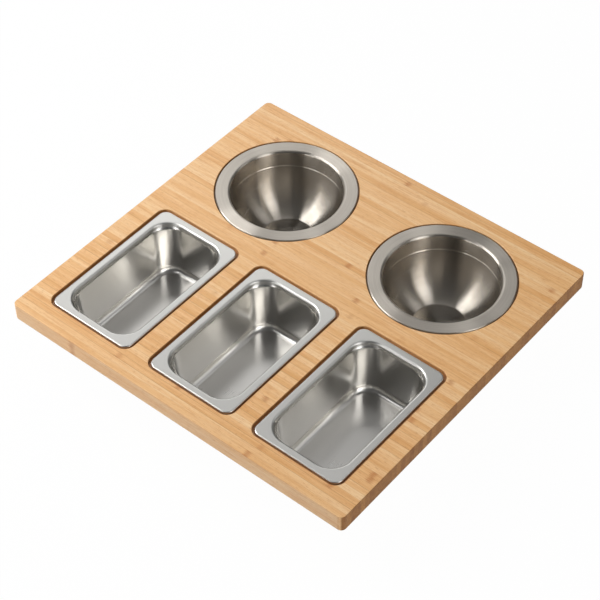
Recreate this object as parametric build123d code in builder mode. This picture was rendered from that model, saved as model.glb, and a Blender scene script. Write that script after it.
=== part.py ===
"""Bamboo serving board for a workstation sink, with three lift-out steel trays and two lift-out steel bowls.

Millimetres. X runs along the front edge, Y from front to back, Z up.
The origin is the centre of the board's underside, the face that lies on the sink's ledges.
"""
import os
from math import atan2, degrees, sqrt

from build123d import *

# Board: bamboo staves, each of three upright lamellas, glued side by side and running along X
BOARD_WIDTH = 438.0
BOARD_THICKNESS = 21.0
LAMELLA_WIDTH = 7.0
STAVE_WIDTH = 3 * LAMELLA_WIDTH
FULL_STAVES = 19
EDGE_STAVE_WIDTH = LAMELLA_WIDTH
BOARD_DEPTH = FULL_STAVES * STAVE_WIDTH + 2 * EDGE_STAVE_WIDTH
CORNER_RADIUS = 6.0
EDGE_ROUND = 1.0
RIM_CHAMFER = 0.5
CUT_MARGIN = 5.0

# Steel sheet that all five inserts are pressed from
SHEET = 0.8
ROLL_RADIUS = 1.6

# Trays: ninth-size gastronorm pans, 65 mm deep below the board's top
TRAY_WIDTH = 107.6
TRAY_LENGTH = 177.2
TRAY_CORNER = 9.5
TRAY_RIM = 9.6
TRAY_TOP = BOARD_THICKNESS - 0.4
TRAY_FLOOR = BOARD_THICKNESS - 65.0
TRAY_MOUTH_CORNER = 23.0
TRAY_SHOULDER = 3.0
TRAY_BAND = 5.0
TRAY_STEP = 0.6
TRAY_BODY_CORNER = 26.0
TRAY_DRAFT = 5.0
TRAY_FLOOR_ROUND = 7.0
TRAY_PITCH = 136.8
TRAY_ROW_Y = -90.4

# Bowls: a straight band over a round wall that ends in a flat foot
BOWL_RADIUS = 79.5
BOWL_MOUTH_RADIUS = 62.8
BOWL_SHOULDER = 3.4
BOWL_BAND = 21.0
BOWL_WALL_RADIUS = 62.4
BOWL_FOOT_RADIUS = 30.0
BOWL_TOP = BOARD_THICKNESS
BOWL_FLOOR = BOARD_THICKNESS - 73.0
BOWL_FLOOR_ROUND = 2.0
BOWL_PITCH = 212.4
BOWL_ROW_Y = 104.6

# Recesses in the board: a ledge that carries each insert's rim, with an opening through it
RECESS_DEPTH = 4.0
TRAY_RECESS_WIDTH = 113.0
TRAY_RECESS_LENGTH = 182.6
TRAY_RECESS_CORNER = 12.0
TRAY_LEDGE = 9.3
TRAY_OPENING_CORNER = 26.0
BOWL_RECESS_RADIUS = 80.5
BOWL_OPENING_RADIUS = 66.0

LEDGE_HEIGHT = BOARD_THICKNESS - RECESS_DEPTH
TRAY_PLACES = [(step * TRAY_PITCH, TRAY_ROW_Y) for step in (-1, 0, 1)]
BOWL_PLACES = [(side * BOWL_PITCH / 2, BOWL_ROW_Y) for side in (-1, 1)]

os.makedirs("parts", exist_ok=True)


def save(shape, node):
    """Name a finished piece and write it as its own file."""
    shape.label = node
    export_step(shape, f"parts/{node}.step")


# The whole board, as it leaves the router, before it is divided into its staves
with BuildPart() as board:
    with BuildSketch() as outline:
        RectangleRounded(BOARD_WIDTH, BOARD_DEPTH, CORNER_RADIUS)
    extrude(amount=BOARD_THICKNESS)
    outer_edges = board.edges().group_by(Axis.Z)
    fillet(outer_edges[0] + outer_edges[-1], EDGE_ROUND)

    with BuildSketch(Plane.XY.offset(BOARD_THICKNESS)) as recesses:
        with Locations(*TRAY_PLACES):
            RectangleRounded(TRAY_RECESS_WIDTH, TRAY_RECESS_LENGTH, TRAY_RECESS_CORNER)
        with Locations(*BOWL_PLACES):
            Circle(BOWL_RECESS_RADIUS)
    extrude(amount=-RECESS_DEPTH, mode=Mode.SUBTRACT)
    recess_rims = board.faces().sort_by(Axis.Z)[-1].inner_wires().edges()
    chamfer(recess_rims, RIM_CHAMFER)

    with BuildSketch() as openings:
        with Locations(*TRAY_PLACES):
            RectangleRounded(
                TRAY_RECESS_WIDTH - 2 * TRAY_LEDGE,
                TRAY_RECESS_LENGTH - 2 * TRAY_LEDGE,
                TRAY_OPENING_CORNER,
            )
        with Locations(*BOWL_PLACES):
            Circle(BOWL_OPENING_RADIUS)
    extrude(amount=BOARD_THICKNESS, mode=Mode.SUBTRACT)


# Staves: each is the board's own shape over one strip of its depth, cut short where an opening crosses it
stave_widths = [EDGE_STAVE_WIDTH] + [STAVE_WIDTH] * FULL_STAVES + [EDGE_STAVE_WIDTH]
front_face = -BOARD_DEPTH / 2
for number, stave_width in enumerate(stave_widths, start=1):
    with BuildPart() as stave:
        add(board.part)
        with Locations((0, front_face + stave_width / 2, BOARD_THICKNESS / 2)):
            Box(
                BOARD_WIDTH + CUT_MARGIN,
                stave_width,
                BOARD_THICKNESS + CUT_MARGIN,
                mode=Mode.INTERSECT,
            )
    save(stave.part, f"stave_{number:02d}")
    front_face += stave_width


# Inserts: a flat rim with its edge rolled down to the ledge, and a pressed body below it
def rim_blank(outline, inner_outline, top):
    """Rim before the mouth is cut: a plate on the ledge, hollow below, with its outer edge rolled down."""
    with BuildPart() as under:
        extrude(inner_outline, amount=top - SHEET - LEDGE_HEIGHT)
        fillet(under.faces().sort_by(Axis.Z)[-1].edges(), ROLL_RADIUS - SHEET)
    with BuildPart() as rim:
        extrude(outline, amount=top - LEDGE_HEIGHT)
        fillet(rim.faces().sort_by(Axis.Z)[-1].edges(), ROLL_RADIUS)
        add(under.part, mode=Mode.SUBTRACT)
    return rim.part


def pressed_insert(rim, outside, inside, shoulder):
    """Rim and body in one sheet, joined by a rounded shoulder that is bent on both sides."""
    with BuildPart() as insert:
        add(rim)
        rim_underside = rim.faces().filter_by(Axis.Z).sort_by(Axis.Z)[-2].center().Z
        add(outside)
        underside = insert.faces().filter_by(Axis.Z).filter_by_position(
            Axis.Z, rim_underside - SHEET / 2, rim_underside + SHEET / 2
        )
        fillet(underside[0].inner_wires().edges(), shoulder - SHEET)
        add(inside, mode=Mode.SUBTRACT)
        mouth = insert.faces().sort_by(Axis.Z)[-1].inner_wires().edges()
        fillet(mouth, shoulder)
    return insert.part


# Trays
def tray_outline(place, inset):
    """Outline of a tray's rim at the ledge's height, drawn in by inset."""
    with BuildSketch(Plane.XY.offset(LEDGE_HEIGHT)) as outline:
        with Locations(place):
            RectangleRounded(TRAY_WIDTH - 2 * inset, TRAY_LENGTH - 2 * inset, TRAY_CORNER - inset)
    return outline.sketch


def tray_body(place, sheet):
    """Inside of a tray when sheet is 0, its outside when it is SHEET: a straight band over a tapered body."""
    mouth_width = TRAY_WIDTH - 2 * TRAY_RIM + 2 * sheet
    mouth_length = TRAY_LENGTH - 2 * TRAY_RIM + 2 * sheet
    mouth_corner = TRAY_MOUTH_CORNER + sheet
    body_top = TRAY_TOP - TRAY_BAND - sheet
    with BuildPart() as body:
        with BuildSketch(Plane.XY.offset(TRAY_TOP)):
            with Locations(place):
                RectangleRounded(mouth_width, mouth_length, mouth_corner)
        extrude(amount=body_top - TRAY_TOP)
        with BuildSketch(Plane.XY.offset(body_top)):
            with Locations(place):
                RectangleRounded(
                    mouth_width - 2 * TRAY_STEP,
                    mouth_length - 2 * TRAY_STEP,
                    TRAY_BODY_CORNER + sheet,
                )
        extrude(amount=TRAY_FLOOR - sheet - body_top, taper=TRAY_DRAFT)
        fillet(body.faces().sort_by(Axis.Z)[0].edges(), TRAY_FLOOR_ROUND + sheet)
    return body.part


for node, place in zip(("left_tray", "middle_tray", "right_tray"), TRAY_PLACES):
    tray_rim = rim_blank(tray_outline(place, 0), tray_outline(place, SHEET), TRAY_TOP)
    save(pressed_insert(tray_rim, tray_body(place, SHEET), tray_body(place, 0), TRAY_SHOULDER), node)


# Bowls
def bowl_outline(place, inset):
    """Outline of a bowl's rim at the ledge's height, drawn in by inset."""
    with BuildSketch(Plane.XY.offset(LEDGE_HEIGHT)) as outline:
        with Locations(place):
            Circle(BOWL_RADIUS - inset)
    return outline.sketch


def bowl_body(place, sheet):
    """Inside of a bowl when sheet is 0, its outside when it is SHEET: a straight band over a round wall.

    The wall is one arc, upright where it leaves the band, that reaches the floor at the foot's radius.
    """
    mouth = BOWL_MOUTH_RADIUS + sheet
    band_z = BOWL_TOP - BOWL_BAND
    drop = band_z - BOWL_FLOOR
    draw_in = BOWL_WALL_RADIUS - BOWL_FOOT_RADIUS
    inner_arc = (draw_in**2 + drop**2) / (2 * draw_in)
    arc_centre = BOWL_WALL_RADIUS - inner_arc
    arc = inner_arc + sheet
    floor_z = BOWL_FLOOR - sheet
    foot = arc_centre + sqrt(arc**2 - (band_z - floor_z) ** 2)
    sweep_angle = degrees(atan2(band_z - floor_z, foot - arc_centre))
    profile_plane = Plane(origin=(*place, 0), x_dir=(1, 0, 0), z_dir=(0, -1, 0))
    with BuildPart() as body:
        with BuildSketch(profile_plane):
            with BuildLine():
                Line((0, floor_z), (foot, floor_z))
                CenterArc((arc_centre, band_z), arc, -sweep_angle, sweep_angle)
                Line((arc_centre + arc, band_z), (mouth, band_z))
                Polyline((mouth, band_z), (mouth, BOWL_TOP), (0, BOWL_TOP), (0, floor_z))
            make_face()
        revolve(axis=Axis((*place, 0), (0, 0, 1)))
        fillet(body.faces().sort_by(Axis.Z)[0].edges(), BOWL_FLOOR_ROUND + sheet)
    return body.part


for node, place in zip(("left_bowl", "right_bowl"), BOWL_PLACES):
    bowl_rim = rim_blank(bowl_outline(place, 0), bowl_outline(place, SHEET), BOWL_TOP)
    save(pressed_insert(bowl_rim, bowl_body(place, SHEET), bowl_body(place, 0), BOWL_SHOULDER), node)
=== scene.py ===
"""A bamboo board for a workstation sink, with three steel trays and two steel bowls in its recesses."""
import math

import bpy
from mathutils import Matrix, Vector


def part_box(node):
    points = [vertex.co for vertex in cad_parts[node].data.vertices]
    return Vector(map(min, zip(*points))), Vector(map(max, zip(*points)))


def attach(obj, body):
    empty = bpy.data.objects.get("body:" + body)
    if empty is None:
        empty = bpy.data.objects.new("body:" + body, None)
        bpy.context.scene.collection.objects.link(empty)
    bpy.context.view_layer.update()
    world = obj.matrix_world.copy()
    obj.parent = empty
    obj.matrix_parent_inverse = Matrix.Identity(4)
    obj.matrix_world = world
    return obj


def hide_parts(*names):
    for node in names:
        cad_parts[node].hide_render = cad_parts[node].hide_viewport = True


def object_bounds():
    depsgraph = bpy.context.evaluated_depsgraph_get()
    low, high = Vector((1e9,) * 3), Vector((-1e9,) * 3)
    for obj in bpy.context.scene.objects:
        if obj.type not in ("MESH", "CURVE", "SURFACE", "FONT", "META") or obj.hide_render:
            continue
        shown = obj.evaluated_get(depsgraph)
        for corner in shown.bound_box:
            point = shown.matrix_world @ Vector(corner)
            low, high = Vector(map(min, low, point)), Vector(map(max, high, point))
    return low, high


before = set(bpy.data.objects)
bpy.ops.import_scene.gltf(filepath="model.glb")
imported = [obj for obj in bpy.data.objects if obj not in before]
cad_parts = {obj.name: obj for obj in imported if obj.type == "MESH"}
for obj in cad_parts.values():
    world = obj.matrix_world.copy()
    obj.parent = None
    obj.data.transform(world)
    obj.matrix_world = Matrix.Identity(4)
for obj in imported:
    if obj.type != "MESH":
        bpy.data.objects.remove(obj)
cad_low, cad_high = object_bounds()


# Board ---------------------------------------------------------------------------------------------
# Bamboo ripped into upright lamellas 7 mm wide, glued side to side in staves, planed, sanded and wiped
# with thin oil. The staves stay as they are made; their finish is one material that runs through them.
MM = 0.001
RECESS_DEPTH = 4.0 * MM
LEDGE = cad_high.z - RECESS_DEPTH
HALF_WIDTH_MM = cad_high.x / MM
HALF_DEPTH_MM = cad_high.y / MM
LAMELLA_MM = 7.0

STRAW, HONEY, TOFFEE = "#FAD3A0", "#F2C187", "#E3A968"
FIBRE_BROWN, KNUCKLE_BROWN, GLUE_BROWN = "#C97F3C", "#B56726", "#8E5A2C"
# The cutter's brown is partly the router's real browning and partly painted shade in the recesses
END_STRAW, END_BROWN, CUTTER_AND_SHADE_BROWN = "#C08A4C", "#8E5A28", "#A86C3A"

# Each kind of grain: its length and width in mm, its detail, and the noise at which it begins and is full.
# A real fibre bundle is about 0.5 mm wide
GRAINS = (
    ("cloud", 90.0, 5.0, 3.0, 0.3, 0.7),
    ("streak", 48.0, 1.0, 4.0, 0.46, 0.74),
    ("fibre", 18.0, 0.5, 3.0, 0.46, 0.74),
    ("freckle", 5.0, 0.7, 2.0, 0.54, 0.76),
)
GRAIN_SHUFFLE_MM = 900.0
CLOUD_SHARE = 0.4
STREAK_SHARE = 0.32
FRECKLE_SHARE = 0.4
INNER_FIBRE_SHARE = 0.12
OUTER_FIBRE_EXTRA = 0.34

# Knuckles of one lamella lie the spacing and up to the extra apart, and begin at a place of their own
KNUCKLE_SPACING_MM = 130.0
KNUCKLE_SPACING_EXTRA_MM = 100.0
KNUCKLE_SHIFT = 7.0
KNUCKLE_RAGGED_MM = 4.0
KNUCKLE_CORE_MM = 0.5
KNUCKLE_REACH_MM = 5.5

# A glue line is full as far as its core from the joint and fades out at its reach
GLUE_CORE_MM = 0.07
GLUE_REACH_MM = 0.35
GLUE_DIP = 0.6
FIBRE_ENDS_PER_MM = (0.02, 1.6, 0.9)

# Wood within the margin of the board's edge is outside, and gets neither the cutter's browning nor the
# painted shade of the recesses
EDGE_MARGIN_MM = 5.0
# How much of that brown the recess walls and ledges get: some is the cutter's browning, and most of it on the
# ledges is painted shade
SCORCHED_AND_SHADED_WALL = 0.25
SCORCHED_AND_SHADED_LEDGE = 0.7
OILED_ROUGHNESS = 0.34
STREAK_ROUGHNESS = 0.12
END_ROUGHNESS = 0.3


def linear(hex_colour):
    """An sRGB hex colour as linear red, green and blue, with alpha."""
    channels = [int(hex_colour[start : start + 2], 16) / 255 for start in (1, 3, 5)]
    return [c / 12.92 if c <= 0.04045 else ((c + 0.055) / 1.055) ** 2.4 for c in channels] + [1.0]


def add(tree, kind, sockets=None, **settings):
    """Adds a shader node with its settings. Each of its sockets gets a value, a node or a node's output."""
    made = tree.nodes.new("ShaderNode" + kind)
    for name, value in settings.items():
        setattr(made, name, value)
    for socket, value in (sockets or {}).items():
        by_name = [entry for entry in made.inputs if entry.enabled and entry.name == socket]
        entry = by_name[0] if by_name else made.inputs[socket]
        if isinstance(value, bpy.types.Node):
            value = next(output for output in value.outputs if output.enabled)
        if isinstance(value, bpy.types.NodeSocket):
            tree.links.new(value, entry)
        else:
            entry.default_value = value
    return made


def empty_material(name):
    """A new material with no nodes in it, and its node tree."""
    material = bpy.data.materials.new(name)
    material.use_nodes = True
    material.node_tree.nodes.clear()
    return material, material.node_tree


def place_in_mm(tree, origin):
    """Where the surface lies, in millimetres from an origin in metres."""
    place = add(tree, "TexCoord").outputs["Object"]
    offset = add(tree, "VectorMath", {0: place, 1: origin}, operation="SUBTRACT")
    return add(tree, "VectorMath", {0: offset, "Scale": 1 / MM}, operation="SCALE")


def lamellas(tree, y):
    """Each place in lamella widths from the board's front edge, its lamella, and that lamella's chances."""
    widths = {0: y, 1: 1 / LAMELLA_MM, 2: HALF_DEPTH_MM / LAMELLA_MM}
    cell = add(tree, "Math", widths, operation="MULTIPLY_ADD")
    lamella = add(tree, "Math", {0: cell}, operation="FLOOR")
    chance = add(tree, "TexWhiteNoise", {"W": lamella}, noise_dimensions="1D").outputs["Color"]
    return cell, lamella, chance


def bamboo_grain(tree, place_mm, chance):
    """Grain stretched along X. Each lamella has its own part of it, so fibres end at the joints."""
    shuffled = add(tree, "VectorMath", {0: chance, "Scale": GRAIN_SHUFFLE_MM}, operation="SCALE")
    grain_place = add(tree, "VectorMath", {0: place_mm, 1: shuffled}, operation="ADD")
    grain = {}
    for name, length_mm, width_mm, detail, begins, full in GRAINS:
        scale = (1 / length_mm, 1 / width_mm, 1 / width_mm)
        stretched = add(tree, "VectorMath", {0: grain_place, 1: scale}, operation="MULTIPLY")
        noise = add(tree, "TexNoise", {"Vector": stretched, "Scale": 1.0, "Detail": detail}).outputs["Fac"]
        limits = {"Value": noise, "From Min": begins, "From Max": full}
        grain[name] = add(tree, "MapRange", limits, interpolation_type="SMOOTHSTEP")
    return grain_place, grain


def fibre_share(tree, cell, side_chance):
    """How strongly fibres show. One side of a lamella was the culm's outside and holds more of them."""
    across = add(tree, "Math", {0: cell}, operation="FRACT")
    flipped = add(tree, "Math", {0: side_chance, 1: 0.5}, operation="GREATER_THAN")
    side = add(tree, "Math", {0: across, 1: flipped}, operation="SUBTRACT")
    outer = add(tree, "Math", {0: side}, operation="ABSOLUTE")
    return add(tree, "Math", {0: outer, 1: OUTER_FIBRE_EXTRA, 2: INNER_FIBRE_SHARE}, operation="MULTIPLY_ADD")


def knuckles(tree, x, lamella, side_chance, knuckle_chance, fibre):
    """Knuckles of the culm: a soft brown smear across one lamella, 130 to 230 mm from the next."""
    spacing = {0: side_chance, 1: KNUCKLE_SPACING_EXTRA_MM, 2: KNUCKLE_SPACING_MM}
    spacing_mm = add(tree, "Math", spacing, operation="MULTIPLY_ADD")
    spacings = add(tree, "Math", {0: x, 1: spacing_mm}, operation="DIVIDE")
    along = add(tree, "Math", {0: knuckle_chance, 1: KNUCKLE_SHIFT, 2: spacings}, operation="MULTIPLY_ADD")
    stretch = add(tree, "Math", {0: along}, operation="FLOOR")
    in_stretch = add(tree, "Math", {0: along}, operation="FRACT")
    from_middle = add(tree, "Math", {0: in_stretch, 1: 0.5}, operation="SUBTRACT")
    off_mm = add(tree, "Math", {0: from_middle, 1: spacing_mm}, operation="MULTIPLY")
    ragged_mm = add(tree, "Math", {0: fibre, 1: KNUCKLE_RAGGED_MM, 2: off_mm}, operation="MULTIPLY_ADD")
    from_knuckle = add(tree, "Math", {0: ragged_mm}, operation="ABSOLUTE")
    reach = {"Value": from_knuckle, "From Min": KNUCKLE_CORE_MM, "From Max": KNUCKLE_REACH_MM}
    smear = add(tree, "MapRange", {**reach, "To Min": 1.0, "To Max": 0.0}, interpolation_type="SMOOTHSTEP")

    # Some knuckles hardly show, and the fibres speckle them
    which = add(tree, "TexWhiteNoise", {"Vector": add(tree, "CombineXYZ", {0: lamella, 1: stretch})})
    limits = {"Value": which.outputs["Value"], "From Min": 0.3, "From Max": 0.8, "To Max": 0.8}
    strength = add(tree, "MapRange", limits)
    speckled = add(tree, "MapRange", {"Value": fibre, "To Min": 0.6, "To Max": 1.0})
    knuckle = add(tree, "Math", {0: smear, 1: strength}, operation="MULTIPLY")
    return add(tree, "Math", {0: knuckle, 1: speckled}, operation="MULTIPLY")


def glue_lines(tree, cell):
    """Glue lines between the lamellas, most of them faint."""
    near_joint = add(tree, "Math", {0: cell, 1: 0.5}, operation="PINGPONG")
    core, reach = GLUE_CORE_MM / LAMELLA_MM, GLUE_REACH_MM / LAMELLA_MM
    limits = {"Value": near_joint, "From Min": core, "From Max": reach, "To Min": 1.0, "To Max": 0.0}
    line = add(tree, "MapRange", limits, interpolation_type="SMOOTHSTEP")
    joint = add(tree, "Math", {0: cell}, operation="ROUND")
    joint_chance = add(tree, "TexWhiteNoise", {"W": joint}, noise_dimensions="1D").outputs["Value"]
    depth = add(tree, "MapRange", {"Value": joint_chance, "From Min": 0.45, "To Min": 0.06, "To Max": 0.55})
    return add(tree, "Math", {0: line, 1: depth}, operation="MULTIPLY")


def end_grain(tree, grain_place, tone, glue):
    """The colour of faces cut across the fibres, which are browner and show the fibres' ends as dots."""
    dots_place = add(tree, "VectorMath", {0: grain_place, 1: FIBRE_ENDS_PER_MM}, operation="MULTIPLY")
    dots = add(tree, "TexNoise", {"Vector": dots_place, "Scale": 1.0, "Detail": 2.0}).outputs["Fac"]
    dotted = add(tree, "MapRange", {"Value": dots, "From Min": 0.4, "From Max": 0.65, "To Max": 0.6})
    ends = linear(END_STRAW)
    for amount, colour in ((tone, END_BROWN), (dotted, END_BROWN), (glue, GLUE_BROWN)):
        ends = add(tree, "Mix", {"Factor": amount, "A": ends, "B": linear(colour)}, data_type="RGBA")
    return ends


def scorched_and_shaded(tree, x, y, z, normal_z):
    """Where the recesses' walls and ledges are painted browner, not the outside: partly the cutter's real
    browning, partly painted shade in the narrow gaps round the inserts.
    """
    level = add(tree, "Math", {0: normal_z}, operation="ABSOLUTE")
    limits = {"Value": level, "From Min": 0.3, "From Max": 0.6, "To Min": SCORCHED_AND_SHADED_WALL, "To Max": 0.0}
    wall = add(tree, "MapRange", limits)
    # Painted shade: the ledges at the bottom of the narrow gaps get most of the brown, where shade falls
    at_ledge = add(tree, "Math", {0: z, 1: LEDGE / MM, 2: 0.5}, operation="COMPARE")
    ledge = add(tree, "Math", {0: at_ledge, 1: SCORCHED_AND_SHADED_LEDGE}, operation="MULTIPLY")
    amount = add(tree, "Math", {0: wall, 1: ledge}, operation="MAXIMUM")
    for distance, half in ((x, HALF_WIDTH_MM), (y, HALF_DEPTH_MM)):
        from_middle = add(tree, "Math", {0: distance}, operation="ABSOLUTE")
        within = add(tree, "Math", {0: from_middle, 1: half - EDGE_MARGIN_MM}, operation="LESS_THAN")
        amount = add(tree, "Math", {0: amount, 1: within}, operation="MULTIPLY")
    return amount


def oiled_bamboo():
    """Bamboo, sanded and oiled: honey-coloured, with fine brown fibres along X and a low sheen."""
    material, tree = empty_material("oiled_bamboo")
    place_mm = place_in_mm(tree, (0.0, 0.0, 0.0))
    x, y, z = add(tree, "SeparateXYZ", {0: place_mm}).outputs
    normal = add(tree, "NewGeometry").outputs["Normal"]
    normal_x, _, normal_z = add(tree, "SeparateXYZ", {0: normal}).outputs
    cell, lamella, chance = lamellas(tree, y)
    tone_chance, side_chance, knuckle_chance = add(tree, "SeparateColor", {0: chance}).outputs
    grain_place, grain = bamboo_grain(tree, place_mm, chance)
    glue = glue_lines(tree, cell)

    tone_parts = {"Factor": CLOUD_SHARE, "A": tone_chance, "B": grain["cloud"]}
    tone = add(tree, "Mix", tone_parts, data_type="FLOAT")
    paler = add(tree, "MapRange", {"Value": tone, "From Min": 0.05, "From Max": 0.5})
    darker = add(tree, "MapRange", {"Value": tone, "From Min": 0.5, "From Max": 1.0})
    shares = {"streak": STREAK_SHARE, "fibre": fibre_share(tree, cell, side_chance), "freckle": FRECKLE_SHARE}
    shown = {}
    for name, share in shares.items():
        shown[name] = add(tree, "Math", {0: grain[name], 1: share}, operation="MULTIPLY")
    knuckle = knuckles(tree, x, lamella, side_chance, knuckle_chance, grain["fibre"])
    across_grain = add(tree, "Math", {0: normal_x}, operation="ABSOLUTE")
    end_limits = {"Value": across_grain, "From Min": 0.45, "From Max": 0.75}
    end_face = add(tree, "MapRange", end_limits, interpolation_type="SMOOTHSTEP")

    # Colours laid over the palest wood, each over the last. The last is the cutter's browning together with
    # painted shade in the recesses
    wood = linear(STRAW)
    for amount, colour in (
        (paler, linear(HONEY)),
        (darker, linear(TOFFEE)),
        (shown["streak"], linear(FIBRE_BROWN)),
        (shown["fibre"], linear(FIBRE_BROWN)),
        (shown["freckle"], linear(KNUCKLE_BROWN)),
        (knuckle, linear(KNUCKLE_BROWN)),
        (glue, linear(GLUE_BROWN)),
        (end_face, end_grain(tree, grain_place, tone, glue)),
        (scorched_and_shaded(tree, x, y, z, normal_z), linear(CUTTER_AND_SHADE_BROWN)),
    ):
        wood = add(tree, "Mix", {"Factor": amount, "A": wood, "B": colour}, data_type="RGBA")

    relief = add(tree, "Math", {0: glue, 1: -GLUE_DIP, 2: grain["fibre"]}, operation="MULTIPLY_ADD")
    bump = add(tree, "Bump", {"Height": relief, "Strength": 0.25, "Distance": 0.05 * MM})
    rough = OILED_ROUGHNESS
    for amount, extra in ((grain["streak"], STREAK_ROUGHNESS), (end_face, END_ROUGHNESS)):
        rough = add(tree, "Math", {0: amount, 1: extra, 2: rough}, operation="MULTIPLY_ADD")
    finish = {"Base Color": wood, "Roughness": rough, "IOR": 1.5, "Specular IOR Level": 0.5, "Normal": bump}
    shader = add(tree, "BsdfPrincipled", finish)
    add(tree, "OutputMaterial", {"Surface": shader})
    return material


bamboo = oiled_bamboo()
for name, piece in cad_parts.items():
    if name.startswith("stave_"):
        piece.data.materials.clear()
        piece.data.materials.append(bamboo)


# Trays ---------------------------------------------------------------------------------------------
# Ninth-size pans, each deep-drawn from one 0.8 mm stainless sheet. The rim is flat with its edge rolled
# down, a rounded shoulder turns into the mouth, and the walls taper to a floor with rounded edges.
SHEET = 0.8 * MM
EDGE_ROLL = 1.6 * MM
TRAY_RIM = 9.6 * MM
TRAY_EDGE_CORNER = 9.5 * MM
TRAY_MOUTH_CORNER = 23.0 * MM
TRAY_SHOULDER = 3.0 * MM
TRAY_BAND = 5.0 * MM
TRAY_STEP = 0.6 * MM
TRAY_STEP_HEIGHT = 5.0 * MM
TRAY_BODY_CORNER = 26.0 * MM
TRAY_DRAFT = math.radians(5.0)
TRAY_FLOOR_ROUND = 7.0 * MM
TRAY_FLOOR_CROWN = 0.5 * MM
TRAY_WALL_BOW = 0.2 * MM

# Rings this near to a bend keep the flat beside it flat under smooth shading
EDGE_HOLD = 0.2 * MM
RIM_HOLD = 0.3 * MM

# How finely each stretch of the skin is divided. The floor's rings are shares of the way to its middle
CORNER_STEPS = 20
SIDE_STEPS = 10
EDGE_STEPS = 10
TRAY_SHOULDER_STEPS = 12
TRAY_STEP_STEPS = 9
TRAY_WALL_STEPS = 12
TRAY_FOOT_STEPS = 14
TRAY_FLOOR_SHARES = (0.02, 0.1, 0.25, 0.45, 0.65, 0.82, 0.95)

TRAY_PALE, TRAY_PALEST, TRAY_SATIN = "#D7D5D1", "#DEDCD8", "#CECDC9"
TRAY_SATIN_DEPTH_MM = 9.0
TRAY_SATIN_ROUGHNESS = 0.12
TRAY_SATIN_SHARE = 0.96
TRAY_UNEVENNESS = 0.02
ROLLING_GRAIN_MM = (0.4, 25.0, 0.4)
CLOUD_MM = 28.0


def blend(start, end, share):
    """The value that lies a share of the way from start to end."""
    return start + (end - start) * share


def eased(share):
    """A share from 0 to 1 that starts and ends gently."""
    return (1 - math.cos(math.pi * share)) / 2


def arc(centre, radius, start, end, steps):
    """Points of an arc, from one angle to another in degrees, both ends included."""
    angles = [math.radians(blend(start, end, step / steps)) for step in range(steps + 1)]
    return [(centre[0] + radius * math.cos(a), centre[1] + radius * math.sin(a)) for a in angles]


def between(start, end):
    """The points that divide a straight side."""
    shares = [step / SIDE_STEPS for step in range(1, SIDE_STEPS)]
    return [(blend(start[0], end[0], share), blend(start[1], end[1], share)) for share in shares]


def rounded_ring(half_width, half_length, corner, height, bow):
    """A rounded rectangle about the origin, anticlockwise, its sides drawn in by bow at their middles."""
    ring = []
    for quarter, (side_x, side_y) in enumerate(((1, 1), (-1, 1), (-1, -1), (1, -1))):
        middle = (side_x * (half_width - corner), side_y * (half_length - corner))
        quarter_turn = arc(middle, corner, 90 * quarter, 90 * quarter + 90, CORNER_STEPS)
        if ring:
            ring += between(ring[-1], quarter_turn[0])
        ring += quarter_turn
    ring += between(ring[-1], ring[0])
    drawn_in = []
    for px, py in ring:
        pull_x = bow * (1 - (py / half_length) ** 2) / half_width
        pull_y = bow * (1 - (px / half_width) ** 2) / half_length
        drawn_in.append(Vector((px * (1 - pull_x), py * (1 - pull_y), height)))
    return drawn_in


def into_scene(name, data):
    """A new object in the scene."""
    made = bpy.data.objects.new(name, data)
    bpy.context.scene.collection.objects.link(made)
    return made


def pressed_sheet(name, rings, centre):
    """A mesh skinned over rings from the rim's edge to the middle of the floor, as thick as the sheet."""
    count = len(rings[0])
    vertices = [point + centre for ring in rings for point in ring]
    faces = []
    for row in range(len(rings) - 1):
        outer, inner = row * count, (row + 1) * count
        for i in range(count):
            following = (i + 1) % count
            faces.append((outer + i, outer + following, inner + following, inner + i))
    last = (len(rings) - 1) * count
    faces.append(tuple(range(last, last + count)))
    mesh = bpy.data.meshes.new(name)
    mesh.from_pydata(vertices, [], faces)
    mesh.shade_smooth()
    piece = into_scene(name, mesh)
    thickness = piece.modifiers.new("sheet", "SOLIDIFY")
    thickness.thickness = SHEET
    thickness.offset = -1.0
    thickness.use_even_offset = True
    return piece


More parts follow.
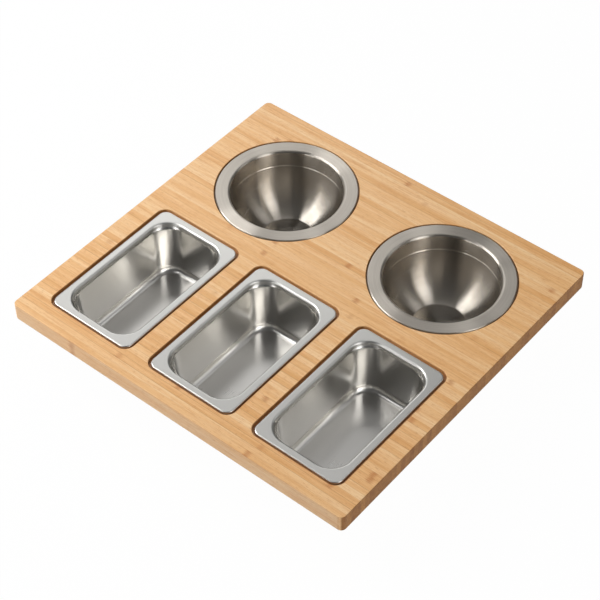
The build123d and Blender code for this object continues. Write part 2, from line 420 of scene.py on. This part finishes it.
def tray_rings(half_width, half_length, top, floor):
    """The tray's upper surface as rings, from a section of rows: distance in, height, corner and bow."""
    shoulder_in = TRAY_RIM - TRAY_SHOULDER
    body_in = TRAY_RIM + TRAY_STEP
    band_end = top - TRAY_BAND
    wall_end = floor + TRAY_FLOOR_ROUND
    slope = math.tan(TRAY_DRAFT)
    foot_in = body_in + (band_end - wall_end) * slope + TRAY_FLOOR_ROUND

    edge = [(0.0, LEDGE), (0.0, top - EDGE_ROLL - EDGE_HOLD)]
    edge += arc((EDGE_ROLL, top - EDGE_ROLL), EDGE_ROLL, 180, 90, EDGE_STEPS)
    edge += [(EDGE_ROLL + RIM_HOLD, top)]
    section = [(inset, z, TRAY_EDGE_CORNER - inset, 0.0) for inset, z in edge]

    shoulder = [(shoulder_in - RIM_HOLD, top)]
    shoulder += arc((shoulder_in, top - TRAY_SHOULDER), TRAY_SHOULDER, 90, 0, TRAY_SHOULDER_STEPS)
    section += [(inset, z, TRAY_MOUTH_CORNER + TRAY_RIM - inset, 0.0) for inset, z in shoulder]

    # The step under the band is drawn out softly over its height
    step_start = band_end + TRAY_STEP_HEIGHT / 2
    step_end = band_end - TRAY_STEP_HEIGHT / 2
    step_in = body_in + (band_end - step_end) * slope
    step_corner = TRAY_BODY_CORNER + body_in - step_in
    for share in [step / TRAY_STEP_STEPS for step in range(1, TRAY_STEP_STEPS + 1)]:
        inset = blend(TRAY_RIM, step_in, eased(share))
        corner = blend(TRAY_MOUTH_CORNER, step_corner, eased(share))
        section.append((inset, blend(step_start, step_end, share), corner, 0.0))

    wall_heights = [blend(step_end, wall_end, step / TRAY_WALL_STEPS) for step in range(1, TRAY_WALL_STEPS)]
    body = [(body_in + (band_end - z) * slope, z) for z in wall_heights]
    foot_start = 180 + math.degrees(TRAY_DRAFT)
    body += arc((foot_in, wall_end), TRAY_FLOOR_ROUND, foot_start, 270, TRAY_FOOT_STEPS)
    for inset, z in body:
        bow = TRAY_WALL_BOW * math.sin(math.pi * (band_end - z) / (band_end - floor))
        section.append((inset, z, TRAY_BODY_CORNER + body_in - inset, bow))

    foot_corner = TRAY_BODY_CORNER + body_in - foot_in
    for share in TRAY_FLOOR_SHARES:
        crown = TRAY_FLOOR_CROWN * (1 - (1 - share) ** 2)
        section.append((blend(foot_in, half_width, share), floor + crown, foot_corner * (1 - share), 0.0))
    return [
        rounded_ring(half_width - inset, half_length - inset, corner, z, bow)
        for inset, z, corner, bow in section
    ]


def pressed_steel(rim, floor):
    """18/10 stainless sheet, deep-drawn: satin on the rim and floor, drawn brighter on the walls."""
    material, tree = empty_material("pressed_steel")
    place_mm = place_in_mm(tree, (0.0, 0.0, 0.0))
    height_mm = add(tree, "SeparateXYZ", {0: place_mm}).outputs["Z"]
    # Rolling grain along the tray, 0.05 mm wide on the real sheet and drawn at 0.4 mm so that it shows
    grain_scale = tuple(1 / size for size in ROLLING_GRAIN_MM)
    grain_place = add(tree, "VectorMath", {0: place_mm, 1: grain_scale}, operation="MULTIPLY")
    grain = add(tree, "TexNoise", {"Vector": grain_place, "Scale": 1.0, "Detail": 3.0}).outputs["Fac"]
    cloud = add(tree, "TexNoise", {"Vector": place_mm, "Scale": 1 / CLOUD_MM, "Detail": 2.0}).outputs["Fac"]

    # The floor keeps more of the sheet's satin than the walls, which the die has drawn smooth
    floor_range = {"From Min": floor / MM + 5.0, "From Max": floor / MM + 14.0}
    floor_roughness = {"Value": height_mm, **floor_range, "To Min": 0.26, "To Max": 0.2}
    rough = add(tree, "MapRange", floor_roughness, interpolation_type="SMOOTHSTEP")
    satin_range = {"Value": height_mm, "From Min": rim / MM - TRAY_SATIN_DEPTH_MM, "From Max": rim / MM}
    satin = add(tree, "MapRange", satin_range, interpolation_type="SMOOTHSTEP")
    for amount, extra in ((satin, TRAY_SATIN_ROUGHNESS), (grain, TRAY_UNEVENNESS), (cloud, TRAY_UNEVENNESS)):
        rough = add(tree, "Math", {0: amount, 1: extra, 2: rough}, operation="MULTIPLY_ADD")

    matted = add(tree, "Math", {0: satin, 1: TRAY_SATIN_SHARE}, operation="MULTIPLY")
    colour = linear(TRAY_PALE)
    for amount, over in ((grain, TRAY_PALEST), (matted, TRAY_SATIN)):
        colour = add(tree, "Mix", {"Factor": amount, "A": colour, "B": linear(over)}, data_type="RGBA")
    bump = add(tree, "Bump", {"Height": grain, "Strength": 0.03, "Distance": 0.01 * MM})
    finish = {"Base Color": colour, "Metallic": 1.0, "Roughness": rough, "Normal": bump}
    shader = add(tree, "BsdfPrincipled", finish)
    add(tree, "OutputMaterial", {"Surface": shader})
    return material


tray_low, tray_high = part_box("left_tray")
tray_steel = pressed_steel(tray_high.z, tray_low.z + SHEET)
for body in ("left_tray", "middle_tray", "right_tray"):
    low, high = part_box(body)
    half = (high - low) / 2
    centre = Vector(((low.x + high.x) / 2, (low.y + high.y) / 2, 0.0))
    piece = pressed_sheet(f"{body}_pan", tray_rings(half.x, half.y, high.z, low.z + SHEET), centre)
    piece.data.materials.append(tray_steel)
    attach(piece, body)
    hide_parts(body)


# Bowls ---------------------------------------------------------------------------------------------
# Each is spun from one stainless sheet: a flat rim with a rolled edge, a rounded shoulder, an upright
# band, a round wall and a flat foot. Polishing on the lathe leaves fine rings all round it.
BOWL_MOUTH = 62.8 * MM
BOWL_SHOULDER = 3.4 * MM
BOWL_BAND = 21.0 * MM
BOWL_WALL = 62.4 * MM
BOWL_FOOT = 30.0 * MM
BOWL_STEP_HEIGHT = 1.2 * MM
BOWL_FLOOR_ROUND = 2.0 * MM

# How finely the skin is divided. The wall's first ring lies two degrees below the band, clear of the step
BOWL_STEPS = 180
BOWL_SHOULDER_STEPS = 14
BOWL_BAND_HEIGHTS = (12.0 * MM, 6.0 * MM, 1.5 * MM)
BOWL_STEP_STEPS = 8
BOWL_WALL_START = -2
BOWL_WALL_STEPS = 28
BOWL_FOOT_STEPS = 8
BOWL_FLOOR_SHARES = (0.98, 0.9, 0.6, 0.3, 0.05)

BOWL_DARK, BOWL_PALE = "#B1AAA0", "#CDC6BC"
# The step's white is a painted highlight along the step under the band
STEP_HIGHLIGHT_WHITE, FOOT_GREY = "#FFFBF4", "#6E6A64"
BRUSH_LINE_MM = 0.8
BRUSH_LINES_PER_RADIAN = 0.8
BRUSH_ROUGHNESS = 0.045
# Half the height and the share of the step's painted highlight
STEP_HIGHLIGHT_HALF_MM = 0.5
STEP_HIGHLIGHT_SHARE = 0.45


def bowl_rings(radius, top, floor):
    """The bowl's upper surface as rings, worked out from its section: (radius, height)."""
    section = [(radius, LEDGE), (radius, top - EDGE_ROLL - EDGE_HOLD)]
    section += arc((radius - EDGE_ROLL, top - EDGE_ROLL), EDGE_ROLL, 0, 90, EDGE_STEPS)
    shoulder_radius = BOWL_MOUTH + BOWL_SHOULDER
    section += [(radius - EDGE_ROLL - RIM_HOLD, top), (shoulder_radius + RIM_HOLD, top)]
    section += arc((shoulder_radius, top - BOWL_SHOULDER), BOWL_SHOULDER, 90, 180, BOWL_SHOULDER_STEPS)
    band_end = top - BOWL_BAND
    section += [(BOWL_MOUTH, band_end + above) for above in BOWL_BAND_HEIGHTS]
    for share in [step / BOWL_STEP_STEPS for step in range(BOWL_STEP_STEPS + 1)]:
        step_radius = blend(BOWL_MOUTH, BOWL_WALL, eased(share))
        section.append((step_radius, band_end + BOWL_STEP_HEIGHT * (0.5 - share)))

    # The wall is one arc, upright at the band. The fillet at the foot touches it from inside
    drop, draw_in = band_end - floor, BOWL_WALL - BOWL_FOOT
    wall_arc = (draw_in**2 + drop**2) / (2 * draw_in)
    wall_centre = (BOWL_WALL - wall_arc, band_end)
    round_height = floor + BOWL_FLOOR_ROUND
    reach = wall_arc - BOWL_FLOOR_ROUND
    round_radius = wall_centre[0] + math.sqrt(reach**2 - (band_end - round_height) ** 2)
    touch = math.degrees(math.asin((band_end - round_height) / reach))
    section += arc(wall_centre, wall_arc, BOWL_WALL_START, -touch, BOWL_WALL_STEPS)
    section += arc((round_radius, round_height), BOWL_FLOOR_ROUND, -touch, -90, BOWL_FOOT_STEPS)[1:]
    section += [(round_radius * share, floor) for share in BOWL_FLOOR_SHARES]
    turn = [2 * math.pi * i / BOWL_STEPS for i in range(BOWL_STEPS)]
    return [[Vector((r * math.cos(a), r * math.sin(a), z)) for a in turn] for r, z in section]


def spun_steel(name, centre, rim):
    """18/10 stainless, spun and brushed on a lathe: its rings stretch every highlight from rim to foot."""
    material, tree = empty_material(name)
    x, y, z = add(tree, "SeparateXYZ", {0: place_in_mm(tree, centre)}).outputs
    level = add(tree, "CombineXYZ", {0: x, 1: y})
    radius = add(tree, "VectorMath", {0: level}, operation="LENGTH").outputs["Value"]
    angle = add(tree, "Math", {0: y, 1: x}, operation="ARCTAN2")
    # Brush lines, about 0.1 mm apart on the real bowl and drawn at 0.8 mm so that they show
    radius_line = add(tree, "Math", {0: radius, 1: BRUSH_LINE_MM}, operation="DIVIDE")
    height_line = add(tree, "Math", {0: z, 1: BRUSH_LINE_MM}, operation="DIVIDE")
    turn_line = add(tree, "Math", {0: angle, 1: BRUSH_LINES_PER_RADIAN}, operation="MULTIPLY")
    lines_place = add(tree, "CombineXYZ", {0: radius_line, 1: turn_line, 2: height_line})
    lines = add(tree, "TexNoise", {"Vector": lines_place, "Scale": 1.0, "Detail": 3.0}).outputs["Fac"]

    # The rim is satin, the wall smoother and the foot the smoothest
    rim_range = {"Value": z, "From Min": rim / MM - 2.5, "From Max": rim / MM, "To Min": 0.24, "To Max": 0.28}
    satin = add(tree, "MapRange", rim_range, interpolation_type="SMOOTHSTEP")
    foot_mm = BOWL_FOOT / MM
    foot_range = {"From Min": foot_mm - 3.0, "From Max": foot_mm + 1.0, "To Min": -0.07, "To Max": 0.0}
    foot = add(tree, "MapRange", {"Value": radius, **foot_range}, interpolation_type="SMOOTHSTEP")
    rough = add(tree, "Math", {0: satin, 1: foot}, operation="ADD")
    rough = add(tree, "Math", {0: lines, 1: BRUSH_ROUGHNESS, 2: rough}, operation="MULTIPLY_ADD")

    # The step under the band gets a painted highlight, a fine pale line all round, and the foot is greyer
    # than the wall
    step_line = {0: z, 1: (rim - BOWL_BAND) / MM, 2: STEP_HIGHLIGHT_HALF_MM}
    on_step = add(tree, "Math", step_line, operation="COMPARE")
    line = add(tree, "Math", {0: on_step, 1: STEP_HIGHLIGHT_SHARE}, operation="MULTIPLY")
    grey_range = {"From Min": foot_mm - 0.5, "From Max": foot_mm + 1.0, "To Min": 0.3, "To Max": 0.0}
    greyed = add(tree, "MapRange", {"Value": radius, **grey_range})
    colour = linear(BOWL_DARK)
    for amount, over in ((lines, BOWL_PALE), (line, STEP_HIGHLIGHT_WHITE), (greyed, FOOT_GREY)):
        colour = add(tree, "Mix", {"Factor": amount, "A": colour, "B": linear(over)}, data_type="RGBA")
    bump = add(tree, "Bump", {"Height": lines, "Strength": 0.05, "Distance": 0.01 * MM})
    around = add(tree, "Tangent", direction_type="RADIAL", axis="Z")
    finish = {"Base Color": colour, "Metallic": 1.0, "Roughness": rough, "Normal": bump, "Tangent": around}
    shader = add(tree, "BsdfPrincipled", {**finish, "Anisotropic": 1.0, "Anisotropic Rotation": 0.25})
    add(tree, "OutputMaterial", {"Surface": shader})
    return material


for body in ("left_bowl", "right_bowl"):
    low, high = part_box(body)
    centre = Vector(((low.x + high.x) / 2, (low.y + high.y) / 2, 0.0))
    piece = pressed_sheet(f"{body}_shell", bowl_rings((high.x - low.x) / 2, high.z, low.z + SHEET), centre)
    piece.data.materials.append(spun_steel(f"{body}_steel", centre, high.z))
    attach(piece, body)
    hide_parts(body)


# Studio --------------------------------------------------------------------------------------------
# A plain pale floor under the bowls' feet, ten soft lights round the board and an even, dim room. The
# camera stands where the photograph was taken from.
FLOOR_HALF = 15.0
FLOOR_WHITE_SHARE = 0.98
ROOM_STRENGTH = 0.085
LIGHT_DISTANCE = 1.5
# Each light: its azimuth and elevation in degrees, its width and height in metres, and its power in watts
LIGHTS = (
    ("key_light", 210, 36, 1.0, 0.55, 10.2),
    ("front_low_light", 258, 12, 0.8, 0.3, 3.6),
    ("key_side_light", 195, 33, 0.4, 0.5, 2.7),
    ("key_top_light", 200, 60, 0.9, 0.3, 3.3),
    ("right_light", 0, 40, 0.6, 1.1, 4.5),
    ("right_low_light", -12, 14, 0.55, 0.4, 2.0),
    ("back_left_light", 137, 33, 0.9, 1.0, 3.8),
    ("left_light", 170, 28, 0.8, 0.9, 1.0),
    ("back_right_light", 48, 38, 0.6, 0.9, 1.6),
    ("back_top_light", 110, 72, 0.7, 0.5, 1.2),
)
CAMERA_PLACE = Vector((0.8148, -0.9803, 1.3630))
CAMERA_AIM = Vector((-0.00174, 0.00011, 0.00036))
CAMERA_ROLL = math.radians(0.57)
CAMERA_LENS = 106.18
CAMERA_SENSOR = 36.0
CAMERA_CLIP_END = 100.0


def floor_paint():
    """Matt white paint. Most of what the camera sees of it is plain white, which keeps the shadow faint."""
    material, tree = empty_material("floor_paint")
    paint = add(tree, "BsdfDiffuse", {"Color": linear("#F2F2F2")})
    white = add(tree, "Emission", {"Color": linear("#FFFFFF"), "Strength": 1.0})
    rays = add(tree, "LightPath")
    seen = rays.outputs["Is Camera Ray"]
    for ray in ("Is Glossy Ray", "Is Transmission Ray"):
        seen = add(tree, "Math", {0: seen, 1: rays.outputs[ray]}, operation="MAXIMUM")
    share = add(tree, "Math", {0: seen, 1: FLOOR_WHITE_SHARE}, operation="MULTIPLY")
    shader = add(tree, "MixShader", {0: share, 1: paint, 2: white})
    add(tree, "OutputMaterial", {"Surface": shader})
    return material


corners = [(-1, -1), (1, -1), (1, 1), (-1, 1)]
floor_mesh = bpy.data.meshes.new("floor")
floor_mesh.from_pydata([(FLOOR_HALF * i, FLOOR_HALF * j, cad_low.z) for i, j in corners], [], [(0, 1, 2, 3)])
floor_mesh.materials.append(floor_paint())
floor = into_scene("floor", floor_mesh)

world = bpy.data.worlds.new("room")
bpy.context.scene.world = world
world.use_nodes = True
room = world.node_tree
room.nodes.clear()
air = add(room, "Background", {"Color": linear("#FFFFFF"), "Strength": ROOM_STRENGTH})
add(room, "OutputWorld", {"Surface": air})

for name, azimuth, elevation, width, height, power in LIGHTS:
    turn, rise = math.radians(azimuth), math.radians(elevation)
    towards = Vector((math.cos(rise) * math.cos(turn), math.cos(rise) * math.sin(turn), math.sin(rise)))
    lamp_data = bpy.data.lights.new(name, "AREA")
    lamp_data.shape = "RECTANGLE"
    lamp_data.size, lamp_data.size_y = width, height
    lamp_data.energy = power
    lamp = into_scene(name, lamp_data)
    lamp.location = LIGHT_DISTANCE * towards
    lamp.rotation_euler = (-towards).to_track_quat("-Z", "Y").to_euler()
    lamp.visible_camera = False

camera_data = bpy.data.cameras.new("camera")
camera_data.lens = CAMERA_LENS
camera_data.sensor_width = CAMERA_SENSOR
camera_data.clip_end = CAMERA_CLIP_END
camera = into_scene("camera", camera_data)
look = (CAMERA_AIM - CAMERA_PLACE).to_track_quat("-Z", "Y").to_matrix().to_4x4()
camera.matrix_world = Matrix.Translation(CAMERA_PLACE) @ look @ Matrix.Rotation(-CAMERA_ROLL, 4, "Z")
bpy.context.scene.camera = camera
bpy.context.scene.view_settings.view_transform = "Standard"
